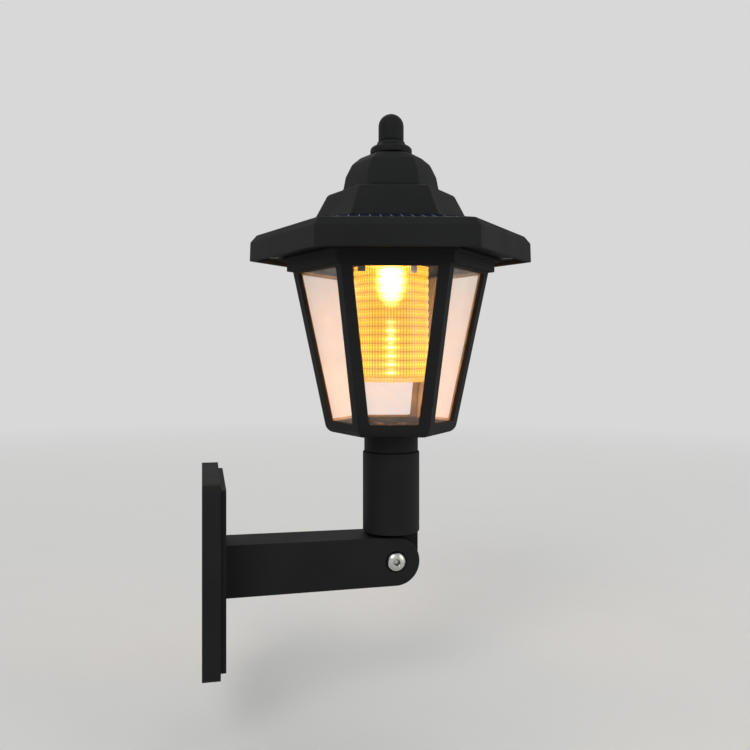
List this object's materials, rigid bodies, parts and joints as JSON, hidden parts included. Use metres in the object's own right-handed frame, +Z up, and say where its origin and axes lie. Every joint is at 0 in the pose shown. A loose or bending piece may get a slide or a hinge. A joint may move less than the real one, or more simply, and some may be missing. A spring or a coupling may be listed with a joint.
{
  "type": "solar wall light",
  "caption": "Six-sided solar lantern on an elbow wall bracket, with clear panes, a ribbed lens, solar panels round the brim, a swivelling neck and a twist-off roof.",
  "frame": {"origin": "centre of the wall plate's back face, where it meets the wall", "axes": "+X straight out of the wall along the arm, +Z up, +Y to the left of someone who looks out from the wall"},
  "size_m": [0.1615, 0.1334, 0.2617],
  "materials": {
    "black_plastic": "finely textured moulded black",
    "clear_panes": "clear, polished",
    "clear_lens": "clear, finely ribbed",
    "steel": "bright plated",
    "black_steel": "blackened",
    "rubber": "matt",
    "solar_cells": "dark cells under clear resin",
    "white_plastic": "satin white",
    "board": "green lacquer",
    "lamp": "clear resin, lit amber",
    "battery_sleeve": "plain green sleeve",
    "grey_resin": "tinted resin",
    "switch_plastic": "satin dark grey",
    "wire": "red insulation"
  },
  "bodies": {
    "bracket": {"wall_plate": "black_plastic", "arm": "black_plastic", "arm_screws": "steel", "elbow_bolt": "steel", "elbow_nut": "steel", "elbow_washers": "rubber"},
    "stem": {"stem_tube": "black_plastic"},
    "lantern": {"neck_spigot": "black_plastic", "neck_screws": "black_steel", "cage_frame": "black_plastic", "pane_1": "clear_panes", "pane_2": "clear_panes", "pane_3": "clear_panes", "pane_4": "clear_panes", "pane_5": "clear_panes", "pane_6": "clear_panes", "collar_ring": "black_plastic", "roof_seal": "rubber"},
    "roof": {"roof_brim": "black_plastic", "roof_crown": "black_plastic", "finial": "black_plastic", "finial_ring": "black_plastic", "finial_screw": "steel", "solar_panel_1": "solar_cells", "solar_panel_2": "solar_cells", "solar_panel_3": "solar_cells", "solar_panel_4": "solar_cells", "solar_panel_5": "solar_cells", "solar_panel_6": "solar_cells", "roof_base": "black_plastic", "base_screws": "black_steel", "battery_holder": "black_plastic", "battery": "battery_sleeve", "battery_spring": "steel", "battery_contact": "steel", "circuit_board": "board", "board_screws": "steel", "led": "lamp", "reflector": "white_plastic", "reflector_screws": "steel", "lens_tube": "clear_lens", "light_sensor": "grey_resin", "switch_body": "switch_plastic", "battery_leads": "wire", "panel_leads": "wire"},
    "switch": {"switch_knob": "switch_plastic"}
  },
  "joints": [
    {"name": "elbow", "type": "hinge", "parent": "bracket", "child": "stem", "pos_m": [0.0923, 0, -0.002], "axis": [0, 1, 0], "range_deg": [-3, 90]},
    {"name": "swivel", "type": "hinge", "parent": "stem", "child": "lantern", "pos_m": [0.0923, 0, 0.05], "axis": [0, 0, 1], "continuous": true},
    {"name": "roof_twist", "type": "hinge", "parent": "lantern", "child": "roof", "pos_m": [0.0923, 0, 0.144], "axis": [0, 0, 1], "range_deg": [0, 20]},
    {"name": "switch_slide", "type": "slide", "parent": "roof", "child": "switch", "axis": [0.9816, -0.1908, 0], "range_m": [0, 0.0025]}
  ]
}
